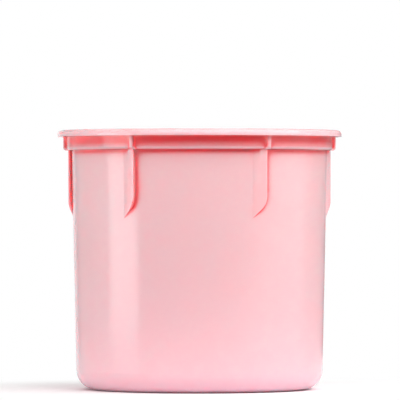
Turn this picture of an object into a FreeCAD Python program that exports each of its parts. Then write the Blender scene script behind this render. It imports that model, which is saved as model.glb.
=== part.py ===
import FreeCAD, Part
import math
import os

# Drop-in wax pot for a salon warmer: a drafted, one-piece moulded cup that hangs by its flange,
# and the dished inner lid that presses into its mouth.
# Millimetres, +Z up. The origin is the centre of the foot ring, on the surface that the pot stands on.

# Pot, overall
POT_HEIGHT = 109.3
FLANGE_DIAMETER = 120.0
FLANGE_THICKNESS = 2.75
FLANGE_TOP_ROUND = 2.0
MOUTH_EDGE_ROUND = 0.6

# Collar band under the flange
COLLAR_DIAMETER = 112.2
COLLAR_HEIGHT = 5.75
COLLAR_LOWER_ROUND = 1.2

# Cup below the collar
WALL_TOP_DIAMETER = 107.9
WALL_DRAFT_DEGREES = 1.2
WALL_THICKNESS = 2.0
BASE_THICKNESS = 2.2
BASE_CORNER_RADIUS = 8.4
STEP_FILLET = 0.4

# Underside: foot ring, recessed panel and the well round the moulding gate
FOOT_RING_WIDTH = 5.0
FOOT_RECESS_DEPTH = 0.8
GATE_WELL_DIAMETER = 8.0
GATE_WELL_DEPTH = 0.5

# Ribs and fins stand at the same places round the pot
RIB_COUNT = 6

# Crush ribs across the collar band
RIB_STAND_OFF = 1.4
RIB_CREST_WIDTH = 1.15
RIB_ROOT_WIDTH = 2.4
RIB_CREST_ROUND = 0.25

# Spring fins: thin blades that sweep out of the wall and end in a free edge
FIN_STAND_OFF = 1.4
FIN_THICKNESS = 0.65
FIN_SWEEP_DEGREES = 6.2
FIN_LAND_RISE = 0.25
FIN_STRAIGHT_LENGTH = 22.4
FIN_TIP_LENGTH = 6.1
FIN_SHOULDER_RADIUS = 9.0
FIN_ROOT_DEPTH = 0.9

# Inner lid
LID_CLEARANCE = 0.3
LID_RIM_THICKNESS = 1.8
LID_RIM_ROUND = 0.6
LID_PLUG_DEPTH = 6.0
LID_PLUG_TAPER = 0.7
LID_SKIRT_THICKNESS = 1.5
LID_PANEL_THICKNESS = 1.6
LID_PANEL_FILLET = 1.2
LID_STEP_DIAMETER = 72.0
LID_STEP_HEIGHT = 0.8

# Pull tab on the lid
TAB_LENGTH = 30.0
TAB_THICKNESS = 3.4
TAB_CORNER_RADIUS = 6.0
TAB_TOP_MARGIN = 1.2
TAB_EDGE_ROUND = 0.7
GRIP_COUNT = 3
GRIP_RADIUS = 0.5
GRIP_PITCH = 2.0
GRIP_END_MARGIN = 6.0

# Levels and radii that follow from the sizes above
FLANGE_RADIUS = FLANGE_DIAMETER / 2
FLANGE_UNDERSIDE = POT_HEIGHT - FLANGE_THICKNESS
COLLAR_RADIUS = COLLAR_DIAMETER / 2
COLLAR_UNDERSIDE = FLANGE_UNDERSIDE - COLLAR_HEIGHT
WALL_SLOPE = math.tan(math.radians(WALL_DRAFT_DEGREES))
MOUTH_RADIUS = COLLAR_RADIUS - WALL_THICKNESS
LEDGE_LEVEL = COLLAR_UNDERSIDE + WALL_THICKNESS
BASE_TOP = FOOT_RECESS_DEPTH + BASE_THICKNESS
AXIS = FreeCAD.Vector(0, 0, 1)
CENTRE = FreeCAD.Vector(0, 0, 0)


def wall_radius(level):
    """Outside radius of the drafted wall at a height."""
    return WALL_TOP_DIAMETER / 2 - (COLLAR_UNDERSIDE - level) * WALL_SLOPE


def bore_radius(level):
    """Inside radius of the drafted wall at a height."""
    return wall_radius(level) - WALL_THICKNESS


def section(radius, level):
    """Point of an upright section through the axis."""
    return FreeCAD.Vector(radius, 0, level)


def polar(radius, degrees, level):
    """Point at a radius and an angle about the axis."""
    angle = math.radians(degrees)
    return FreeCAD.Vector(radius * math.cos(angle), radius * math.sin(angle), level)


def rounded_face(corners):
    """Flat face inside (point, round) corners, each rounded by a tangent arc of that radius."""
    entries = []
    exits = []
    edges = []
    for index, (here, radius) in enumerate(corners):
        to_last = (corners[index - 1][0] - here).normalize()
        to_next = (corners[(index + 1) % len(corners)][0] - here).normalize()
        half_angle = to_last.getAngle(to_next) / 2
        reach = radius / math.tan(half_angle)
        entries.append(here + to_last * reach)
        exits.append(here + to_next * reach)
        if radius > 0:
            inward = (to_last + to_next).normalize()
            middle = here + inward * (radius / math.sin(half_angle) - radius)
            edges.append(Part.Arc(entries[-1], middle, exits[-1]).toShape())
    for index in range(len(corners)):
        edges.append(Part.LineSegment(exits[index - 1], entries[index]).toShape())
    return Part.Face(Part.Wire(Part.__sortEdges__(edges)))


def turned(corners):
    """Solid of revolution about the pot's axis."""
    return rounded_face(corners).revolve(CENTRE, AXIS, 360)


def round_the_pot(shape):
    """Copies of a shape at every rib position."""
    copies = []
    for index in range(RIB_COUNT):
        copy = shape.copy()
        copy.rotate(CENTRE, AXIS, 360 / RIB_COUNT * index)
        copies.append(copy)
    return copies


def pot_shell():
    """Cup, stepped collar and flange, with the ledge inside the collar that carries the lid."""
    foot_inner = wall_radius(0) - BASE_CORNER_RADIUS - FOOT_RING_WIDTH
    gate_radius = GATE_WELL_DIAMETER / 2
    gate_level = FOOT_RECESS_DEPTH + GATE_WELL_DEPTH
    return turned([
        (section(0, gate_level), 0),
        (section(gate_radius, gate_level), 0),
        (section(gate_radius, FOOT_RECESS_DEPTH), 0),
        (section(foot_inner - FOOT_RECESS_DEPTH, FOOT_RECESS_DEPTH), 0),
        (section(foot_inner, 0), 0),
        (section(wall_radius(0), 0), BASE_CORNER_RADIUS),
        (section(wall_radius(COLLAR_UNDERSIDE), COLLAR_UNDERSIDE), STEP_FILLET),
        (section(COLLAR_RADIUS, COLLAR_UNDERSIDE), COLLAR_LOWER_ROUND),
        (section(COLLAR_RADIUS, FLANGE_UNDERSIDE), 0),
        (section(FLANGE_RADIUS, FLANGE_UNDERSIDE), 0),
        (section(FLANGE_RADIUS, POT_HEIGHT), FLANGE_TOP_ROUND),
        (section(MOUTH_RADIUS, POT_HEIGHT), MOUTH_EDGE_ROUND),
        (section(MOUTH_RADIUS, LEDGE_LEVEL), 0),
        (section(bore_radius(LEDGE_LEVEL), LEDGE_LEVEL), 0),
        (section(bore_radius(BASE_TOP), BASE_TOP), BASE_CORNER_RADIUS - WALL_THICKNESS),
        (section(0, BASE_TOP), 0),
    ])


def collar_rib():
    """One tapered rib across the collar band, rounded under like the band."""
    root_radius = COLLAR_RADIUS - WALL_THICKNESS / 2
    crest_radius = COLLAR_RADIUS + RIB_STAND_OFF
    top = FLANGE_UNDERSIDE + FLANGE_THICKNESS / 2
    flank_slope = (RIB_ROOT_WIDTH - RIB_CREST_WIDTH) / 2 / RIB_STAND_OFF
    half_root = RIB_CREST_WIDTH / 2 + flank_slope * (crest_radius - root_radius)
    half_crest = RIB_CREST_WIDTH / 2
    plan = rounded_face([
        (FreeCAD.Vector(root_radius, -half_root, COLLAR_UNDERSIDE), 0),
        (FreeCAD.Vector(crest_radius, -half_crest, COLLAR_UNDERSIDE), RIB_CREST_ROUND),
        (FreeCAD.Vector(crest_radius, half_crest, COLLAR_UNDERSIDE), RIB_CREST_ROUND),
        (FreeCAD.Vector(root_radius, half_root, COLLAR_UNDERSIDE), 0),
    ])
    upright = plan.extrude(FreeCAD.Vector(0, 0, top - COLLAR_UNDERSIDE))
    inner_radius = root_radius - WALL_THICKNESS / 2
    envelope = turned([
        (section(inner_radius, COLLAR_UNDERSIDE), 0),
        (section(crest_radius, COLLAR_UNDERSIDE), COLLAR_LOWER_ROUND),
        (section(crest_radius, top + FLANGE_THICKNESS), 0),
        (section(inner_radius, top + FLANGE_THICKNESS), 0),
    ])
    return upright.common(envelope)


def fin_outline(level):
    """Plan of one blade at a height: it leaves the wall at the sweep angle and ends on the rib's plane."""
    crest_radius = WALL_TOP_DIAMETER / 2 + FIN_STAND_OFF
    crest = polar(crest_radius + FIN_LAND_RISE, 0, level)
    foot = polar(wall_radius(level), -FIN_SWEEP_DEGREES, level)
    along = (crest - foot).normalize()
    root = foot - along * FIN_ROOT_DEPTH
    inward = FreeCAD.Vector(-FIN_THICKNESS - FIN_LAND_RISE, 0, 0)
    return Part.makePolygon([root, crest, crest + inward, root + inward, root])


def spring_fin():
    """One swept blade. Its lower end slants from a rounded shoulder on the free edge to the wall."""
    crest_radius = WALL_TOP_DIAMETER / 2 + FIN_STAND_OFF
    top = COLLAR_UNDERSIDE + COLLAR_LOWER_ROUND
    shoulder = COLLAR_UNDERSIDE - FIN_STRAIGHT_LENGTH
    tip = shoulder - FIN_TIP_LENGTH
    inner_radius = wall_radius(tip) - WALL_THICKNESS
    foot_side = polar(wall_radius(tip), -FIN_SWEEP_DEGREES, tip).y
    root_side = foot_side - WALL_THICKNESS
    bottom = tip + FIN_TIP_LENGTH * WALL_THICKNESS / foot_side
    blade = Part.makeLoft([fin_outline(bottom), fin_outline(top)], True, True)
    outline = rounded_face([
        (FreeCAD.Vector(inner_radius, root_side, bottom), 0),
        (FreeCAD.Vector(inner_radius, 0, shoulder), FIN_SHOULDER_RADIUS),
        (FreeCAD.Vector(inner_radius, 0, top), 0),
        (FreeCAD.Vector(inner_radius, root_side, top), 0),
    ])
    return blade.common(outline.extrude(FreeCAD.Vector(crest_radius - inner_radius, 0, 0)))


def pot_body():
    """The whole pot: shell, collar ribs and spring fins in one moulding."""
    features = round_the_pot(collar_rib()) + round_the_pot(spring_fin())
    return pot_shell().fuse(features).removeSplitter()


def lid_dish():
    """Rim that rests on the ledge, tapered plug skirt and sunk panel with a stiffening step."""
    rim_radius = MOUTH_RADIUS - LID_CLEARANCE
    rim_top = LEDGE_LEVEL + LID_RIM_THICKNESS
    plug_radius = bore_radius(LEDGE_LEVEL - LID_PLUG_DEPTH) - LID_CLEARANCE
    plug_bottom = LEDGE_LEVEL - LID_PLUG_DEPTH
    panel_top = plug_bottom + LID_PANEL_THICKNESS
    toe_radius = plug_radius - LID_PLUG_TAPER
    well_radius = toe_radius - LID_SKIRT_THICKNESS
    brow_radius = plug_radius - LID_SKIRT_THICKNESS
    step_radius = LID_STEP_DIAMETER / 2
    return turned([
        (section(0, plug_bottom + LID_STEP_HEIGHT), 0),
        (section(step_radius - LID_STEP_HEIGHT, plug_bottom + LID_STEP_HEIGHT), 0),
        (section(step_radius, plug_bottom), 0),
        (section(toe_radius, plug_bottom), LID_PANEL_FILLET),
        (section(plug_radius, LEDGE_LEVEL), 0),
        (section(rim_radius, LEDGE_LEVEL), 0),
        (section(rim_radius, rim_top), LID_RIM_ROUND),
        (section(brow_radius, rim_top), LID_RIM_ROUND),
        (section(well_radius, panel_top), LID_PANEL_FILLET),
        (section(step_radius, panel_top), 0),
        (section(step_radius - LID_STEP_HEIGHT, panel_top + LID_STEP_HEIGHT), 0),
        (section(0, panel_top + LID_STEP_HEIGHT), 0),
    ])


def pull_tab():
    """Upright tab with rounded shoulders and grip bars on both faces."""
    root = LEDGE_LEVEL - LID_PLUG_DEPTH + LID_PANEL_THICKNESS
    top = POT_HEIGHT - TAB_TOP_MARGIN
    half_length = TAB_LENGTH / 2
    outline = rounded_face([
        (section(-half_length, root), 0),
        (section(half_length, root), 0),
        (section(half_length, top), TAB_CORNER_RADIUS),
        (section(-half_length, top), TAB_CORNER_RADIUS),
    ])
    outline.translate(FreeCAD.Vector(0, -TAB_THICKNESS / 2, 0))
    tab = outline.extrude(FreeCAD.Vector(0, TAB_THICKNESS, 0))
    face_edges = [edge for edge in tab.Edges if edge.BoundBox.YLength < TAB_THICKNESS / 2]
    tab = tab.makeFillet(TAB_EDGE_ROUND, [edge for edge in face_edges if edge.BoundBox.ZMax > root])
    bar_length = TAB_LENGTH - 2 * GRIP_END_MARGIN
    bars = []
    for index in range(GRIP_COUNT):
        level = top - TAB_CORNER_RADIUS / 2 - GRIP_PITCH * index
        for side in (-1, 1):
            start = FreeCAD.Vector(-bar_length / 2, side * TAB_THICKNESS / 2, level)
            bars.append(Part.makeCylinder(GRIP_RADIUS, bar_length, start, FreeCAD.Vector(1, 0, 0)))
    return tab.fuse(bars)


def inner_lid():
    """The lid in one moulding: dish and pull tab."""
    return lid_dish().fuse(pull_tab()).removeSplitter()


os.makedirs("parts", exist_ok=True)
pot_body().exportStep("parts/pot_body.step")
inner_lid().exportStep("parts/inner_lid.step")
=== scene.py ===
import math
from collections import namedtuple

import bpy
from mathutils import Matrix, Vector


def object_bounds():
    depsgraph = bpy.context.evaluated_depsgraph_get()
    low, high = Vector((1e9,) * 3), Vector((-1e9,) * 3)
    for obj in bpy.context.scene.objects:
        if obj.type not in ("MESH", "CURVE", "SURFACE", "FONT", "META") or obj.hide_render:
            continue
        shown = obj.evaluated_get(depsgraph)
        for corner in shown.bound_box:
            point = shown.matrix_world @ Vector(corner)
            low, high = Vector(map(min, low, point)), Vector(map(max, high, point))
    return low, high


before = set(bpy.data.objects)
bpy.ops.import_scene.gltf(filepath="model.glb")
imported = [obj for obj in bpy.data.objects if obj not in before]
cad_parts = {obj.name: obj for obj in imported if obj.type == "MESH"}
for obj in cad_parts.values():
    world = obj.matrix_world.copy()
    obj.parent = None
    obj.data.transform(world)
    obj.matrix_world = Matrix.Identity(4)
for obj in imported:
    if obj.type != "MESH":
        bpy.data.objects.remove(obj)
cad_low, cad_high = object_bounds()

# Lengths are in metres, colours are linear, and azimuth 0 is the camera's side, at -Y, with 90 on the right

# Camera, level and far off
CAMERA_DISTANCE = 2.05
CAMERA_HEIGHT = 0.0799
CAMERA_SIDE_STEP = 0.00023
CAMERA_YAW_DEGREES = -0.4
FRAME_WIDTH_AT_AXIS = 0.1689
SENSOR_WIDTH_MM = 36.0

# Pot: its dye where it is pale and deep, the painted shade of a recess, the painted glow of a tight slot, and
# its smooth gloss
POT_PINK = (0.92, 0.56, 0.59, 1)
POT_PINK_DEEP = (0.915, 0.54, 0.57, 1)
POT_PAINTED_SHADE = (0.94, 0.115, 0.13, 1)
POT_PAINTED_GLOW = (0.95, 0.60, 0.58, 1)
POT_ROUGHNESS = (0.14, 0.20)
POT_GRAIN_SCALE = 700
POT_GRAIN_DEPTH = 0.00001

# Lid: the same, paler and with a satin grain
LID_PINK = (0.91, 0.66, 0.65, 1)
LID_PINK_DEEP = (0.88, 0.61, 0.60, 1)
# Painted shade of the lid's recesses and painted glow of its tight slots
LID_PAINTED_SHADE = (0.86, 0.36, 0.36, 1)
LID_PAINTED_GLOW = (0.88, 0.42, 0.41, 1)
LID_ROUGHNESS = (0.38, 0.48)
LID_GRAIN_SCALE = 2200
LID_GRAIN_DEPTH = 0.00005

# Plastic of both: the depth to which light enters it, and the share of that per colour
PLASTIC_IOR = 1.49
SCATTER_DEPTH = 0.004
SCATTER_SHARE = (1.0, 0.08, 0.08)

# Patterns of the plastic, per metre: clouds in the dye, and upright streaks in the gloss
CLOUD_SCALE = 45
CLOUD_DETAIL = 3
STREAK_SCALE = 160
STREAK_STRETCH = (1, 1, 0.12)
GRAIN_STRENGTH = 0.3
NOISE_RANGE = (0.3, 0.7)

# Painted shade: a recess is painted redder, standing in for its shade and the light its walls pass to each
# other, and a tight slot is painted with a glow; the width within which this is measured, and how open it is
# at each change of colour
PAINTED_SHADE_REACH = 0.009
PAINTED_GLOW_TO_SHADE = (0.2, 0.7)
PAINTED_SHADE_TO_DYE = (0.8, 0.97)

# Painted light on edges: within this depth an edge or a thin blade is painted paler, standing in for the
# light it lets through, and the change to a thick wall
PAINTED_EDGE_LIGHT_REACH = 0.0015
THIN_PAINTED_LIGHT_TO_THICK = (0.7, 0.97)
OPENNESS_SAMPLES = 16

# Floor: its colour in view, and near and far from the pot as a source of bounced light
WHITE = (1, 1, 1, 1)
FLOOR_SEEN = (0.92, 0.92, 0.92, 1)
FLOOR_NEAR = (0.88, 0.83, 0.95, 1)
FLOOR_FAR = (0.15, 0.15, 0.16, 1)
FLOOR_RADIUS = 0.4
FLOOR_SIDES = 96
SHADOW_TO_WHITE = (0.058, 0.135)
NEAR_TO_FAR = (0.065, 0.15)

# Room: the strength of its light on the camera's side and behind the pot, and the white backdrop
# that gloss reflects, by its bearing and the cosines of its soft edge
ROOM_STRENGTH = (0.08, 0.35)
FRONT_TO_BACK = (-0.6, 0.6)
BACKDROP_AZIMUTH = -168
BACKDROP_EDGE = (0.945, 0.985)

# Lamps: softboxes that face the pot's middle. Gloss doesn't reflect the ones that aren't mirrored.
Softbox = namedtuple("Softbox", "name azimuth elevation distance width height radiance mirrored")
LAMPS = [
    Softbox("key_right", 52, 44, 0.5, 0.66, 0.34, 2.15, True),
    Softbox("key_right_low", 62, 28, 0.6, 0.6, 0.3, 1.5, True),
    Softbox("front_top", -12, 44, 0.5, 0.58, 0.34, 2.25, True),
    Softbox("front_low", 5, 25, 1.0, 0.7, 0.35, 1.0, True),
    Softbox("left_strip", -73, 4, 0.95, 0.54, 0.5, 4.1, True),
    Softbox("left_low", -100, 0, 1.0, 0.35, 0.3, 0.5, True),
    Softbox("right_wide", 80, 6, 1.0, 1.0, 0.5, 1.0, True),
    Softbox("back_left", -118, 8, 1.0, 0.9, 0.5, 0.5, True),
    Softbox("back_right", 128, 22, 1.0, 0.8, 0.45, 1.5, False),
    Softbox("back_top", 180, 30, 1.0, 1.0, 0.45, 2.4, False),
]


def outward(azimuth, elevation=0):
    """Direction from the pot towards a bearing and a height in degrees."""
    side, rise = math.radians(azimuth), math.radians(elevation)
    return Vector((math.sin(side) * math.cos(rise), -math.cos(side) * math.cos(rise), math.sin(rise)))


def add_node(tree, kind, **inputs):
    """New node with the named input sockets set."""
    node = tree.nodes.new(kind)
    for name, value in inputs.items():
        node.inputs[name.replace("_", " ")].default_value = value
    return node


def new_material(name):
    """Empty node material, its tree and its output's surface socket."""
    material = bpy.data.materials.new(name)
    material.use_nodes = True
    tree = material.node_tree
    tree.nodes.clear()
    output = tree.nodes.new("ShaderNodeOutputMaterial")
    return material, tree, output.inputs["Surface"]


def noise(tree, scale, detail=2, stretch=(1, 1, 1)):
    """Value socket of a noise in the part's own frame, per metre."""
    place = tree.nodes.new("ShaderNodeTexCoord")
    mapping = add_node(tree, "ShaderNodeMapping", Scale=stretch)
    texture = add_node(tree, "ShaderNodeTexNoise", Scale=scale, Detail=detail)
    tree.links.new(place.outputs["Object"], mapping.inputs["Vector"])
    tree.links.new(mapping.outputs["Vector"], texture.inputs["Vector"])
    return texture.outputs["Fac"]


def openness(tree, reach, inside=False):
    """Share of directions, out of a surface or into it, that meet no face of the piece within reach."""
    node = add_node(tree, "ShaderNodeAmbientOcclusion", Distance=reach)
    node.samples = OPENNESS_SAMPLES
    node.inside = inside
    node.only_local = True
    return node.outputs["AO"]


def remap(tree, value, source, target=(0, 1), kind="SMOOTHSTEP"):
    """A value carried from one range to another, and held at its ends."""
    node = add_node(tree, "ShaderNodeMapRange", From_Min=source[0], From_Max=source[1],
                    To_Min=target[0], To_Max=target[1])
    node.interpolation_type = kind
    tree.links.new(value, node.inputs["Value"])
    return node.outputs["Result"]


def mix(tree, factor, first, second):
    """Colour between two, each a socket or a plain colour."""
    node = tree.nodes.new("ShaderNodeMix")
    node.data_type = "RGBA"
    tree.links.new(factor, node.inputs["Factor"])
    for socket, colour in ((node.inputs["A"], first), (node.inputs["B"], second)):
        if isinstance(colour, bpy.types.NodeSocket):
            tree.links.new(colour, socket)
        else:
            socket.default_value = colour
    return node.outputs["Result"]


def combine(tree, operation, first, second):
    """Value socket of the product, the larger or the like of two sockets."""
    node = tree.nodes.new("ShaderNodeMath")
    node.operation = operation
    tree.links.new(first, node.inputs[0])
    tree.links.new(second, node.inputs[1])
    return node.outputs["Value"]


def moulded_plastic(name, pale, deep, red, glow, roughness, grain_scale, grain_depth):
    """Slightly see-through plastic: clouded dye, painted shade in recesses, a painted glow in tight slots,
    painted light on thin edges, streaky gloss and a fine grain.
    """
    material, tree, surface = new_material(name)
    shader = add_node(tree, "ShaderNodeBsdfPrincipled", IOR=PLASTIC_IOR, Subsurface_Weight=1.0,
                      Subsurface_Radius=SCATTER_SHARE, Subsurface_Scale=SCATTER_DEPTH)
    shader.subsurface_method = "BURLEY"
    dye = mix(tree, noise(tree, CLOUD_SCALE, CLOUD_DETAIL), pale, deep)
    # Painted shade: recesses are coloured redder and tight slots paler by how open they are, standing in for
    # shade and light passed between walls
    recess = openness(tree, PAINTED_SHADE_REACH)
    shade = mix(tree, remap(tree, recess, PAINTED_GLOW_TO_SHADE), glow, red)
    shaded = mix(tree, remap(tree, recess, PAINTED_SHADE_TO_DYE), shade, dye)
    # Painted light: thin edges and blades are coloured paler, standing in for light let through them and the
    # highlights they catch
    thickness = openness(tree, PAINTED_EDGE_LIGHT_REACH, inside=True)
    colour = mix(tree, remap(tree, thickness, THIN_PAINTED_LIGHT_TO_THICK), dye, shaded)
    tree.links.new(colour, shader.inputs["Base Color"])
    streaks = noise(tree, STREAK_SCALE, stretch=STREAK_STRETCH)
    gloss = remap(tree, streaks, NOISE_RANGE, roughness, kind="LINEAR")
    tree.links.new(gloss, shader.inputs["Roughness"])
    grain = add_node(tree, "ShaderNodeBump", Strength=GRAIN_STRENGTH, Distance=grain_depth)
    tree.links.new(noise(tree, grain_scale), grain.inputs["Height"])
    tree.links.new(grain.outputs["Normal"], shader.inputs["Normal"])
    tree.links.new(shader.outputs["BSDF"], surface)
    return material


def dress(node, material):
    """The better finish on a CAD node."""
    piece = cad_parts[node]
    for place in piece.material_slots:
        place.material = material


def floor_material():
    """Pale floor that keeps the pot's shadow. Away from it, it looks white and bounces little light."""
    material, tree, surface = new_material("pale_floor")
    path = tree.nodes.new("ShaderNodeLightPath")
    direct = combine(tree, "MAXIMUM", path.outputs["Is Camera Ray"], path.outputs["Is Transmission Ray"])
    seen = combine(tree, "MAXIMUM", direct, path.outputs["Is Glossy Ray"])
    place = tree.nodes.new("ShaderNodeTexCoord")
    length = tree.nodes.new("ShaderNodeVectorMath")
    length.operation = "LENGTH"
    tree.links.new(place.outputs["Object"], length.inputs[0])
    distance = length.outputs["Value"]
    bounce = mix(tree, remap(tree, distance, NEAR_TO_FAR), FLOOR_NEAR, FLOOR_FAR)
    matt = tree.nodes.new("ShaderNodeBsdfDiffuse")
    tree.links.new(mix(tree, seen, bounce, FLOOR_SEEN), matt.inputs["Color"])
    white = add_node(tree, "ShaderNodeEmission", Color=WHITE, Strength=1.0)
    away = remap(tree, distance, SHADOW_TO_WHITE)
    blend = tree.nodes.new("ShaderNodeMixShader")
    tree.links.new(combine(tree, "MULTIPLY", away, seen), blend.inputs["Fac"])
    tree.links.new(matt.outputs["BSDF"], blend.inputs[1])
    tree.links.new(white.outputs["Emission"], blend.inputs[2])
    tree.links.new(blend.outputs["Shader"], surface)
    return material


def add_floor():
    """Round floor under the pot."""
    bpy.ops.mesh.primitive_circle_add(vertices=FLOOR_SIDES, radius=FLOOR_RADIUS, fill_type="NGON")
    floor = bpy.context.object
    floor.name = "floor"
    floor.data.materials.append(floor_material())


def add_world():
    """White background in a dim room. Gloss reflects its white only round the backdrop."""
    world = bpy.data.worlds.new("studio")
    world.use_nodes = True
    tree = world.node_tree
    tree.nodes.clear()
    place = tree.nodes.new("ShaderNodeTexCoord")
    axes = tree.nodes.new("ShaderNodeSeparateXYZ")
    tree.links.new(place.outputs["Generated"], axes.inputs["Vector"])
    room = remap(tree, axes.outputs["Y"], FRONT_TO_BACK, ROOM_STRENGTH)
    bearing = tree.nodes.new("ShaderNodeVectorMath")
    bearing.operation = "DOT_PRODUCT"
    bearing.inputs[1].default_value = outward(BACKDROP_AZIMUTH)
    tree.links.new(place.outputs["Generated"], bearing.inputs[0])
    backdrop = remap(tree, bearing.outputs["Value"], BACKDROP_EDGE)
    path = tree.nodes.new("ShaderNodeLightPath")
    mirrored = combine(tree, "MULTIPLY", path.outputs["Is Glossy Ray"], backdrop)
    direct = combine(tree, "MAXIMUM", path.outputs["Is Camera Ray"], path.outputs["Is Transmission Ray"])
    strength = add_node(tree, "ShaderNodeMix", B=1.0)
    tree.links.new(combine(tree, "MAXIMUM", direct, mirrored), strength.inputs["Factor"])
    tree.links.new(room, strength.inputs["A"])
    background = add_node(tree, "ShaderNodeBackground", Color=WHITE)
    tree.links.new(strength.outputs["Result"], background.inputs["Strength"])
    output = tree.nodes.new("ShaderNodeOutputWorld")
    tree.links.new(background.outputs["Background"], output.inputs["Surface"])
    bpy.context.scene.world = world


def add_softbox(lamp):
    """Rectangular lamp that faces the pot's middle, out of the camera's sight."""
    away = outward(lamp.azimuth, lamp.elevation)
    light = bpy.data.lights.new(lamp.name, "AREA")
    light.shape = "RECTANGLE"
    light.size = lamp.width
    light.size_y = lamp.height
    light.energy = lamp.radiance * math.pi * lamp.width * lamp.height
    box = bpy.data.objects.new(lamp.name, light)
    box.location = (cad_low + cad_high) / 2 + away * lamp.distance
    box.rotation_euler = (-away).to_track_quat("-Z", "Y").to_euler()
    box.visible_camera = False
    box.visible_glossy = lamp.mirrored
    bpy.context.scene.collection.objects.link(box)


def add_camera():
    """The level camera, as far off as the flat perspective shows."""
    yaw = math.radians(CAMERA_YAW_DEGREES)
    towards = Vector((-math.sin(yaw), math.cos(yaw), 0))
    sideways = Vector((math.cos(yaw), math.sin(yaw), 0))
    lens = bpy.data.cameras.new("camera")
    lens.sensor_width = SENSOR_WIDTH_MM
    lens.lens = SENSOR_WIDTH_MM * CAMERA_DISTANCE / FRAME_WIDTH_AT_AXIS
    camera = bpy.data.objects.new("camera", lens)
    stand = sideways * CAMERA_SIDE_STEP - towards * CAMERA_DISTANCE
    camera.location = stand + Vector((0, 0, CAMERA_HEIGHT))
    camera.rotation_euler = towards.to_track_quat("-Z", "Y").to_euler()
    bpy.context.scene.collection.objects.link(camera)
    bpy.context.scene.camera = camera


pot_plastic = moulded_plastic("pot_plastic", POT_PINK, POT_PINK_DEEP, POT_PAINTED_SHADE, POT_PAINTED_GLOW,
                              POT_ROUGHNESS, POT_GRAIN_SCALE, POT_GRAIN_DEPTH)
lid_plastic = moulded_plastic("lid_plastic", LID_PINK, LID_PINK_DEEP, LID_PAINTED_SHADE, LID_PAINTED_GLOW,
                              LID_ROUGHNESS, LID_GRAIN_SCALE, LID_GRAIN_DEPTH)
dress("pot_body", pot_plastic)
dress("inner_lid", lid_plastic)

add_floor()
add_world()
for lamp in LAMPS:
    add_softbox(lamp)
add_camera()
bpy.context.scene.view_settings.view_transform = "Standard"
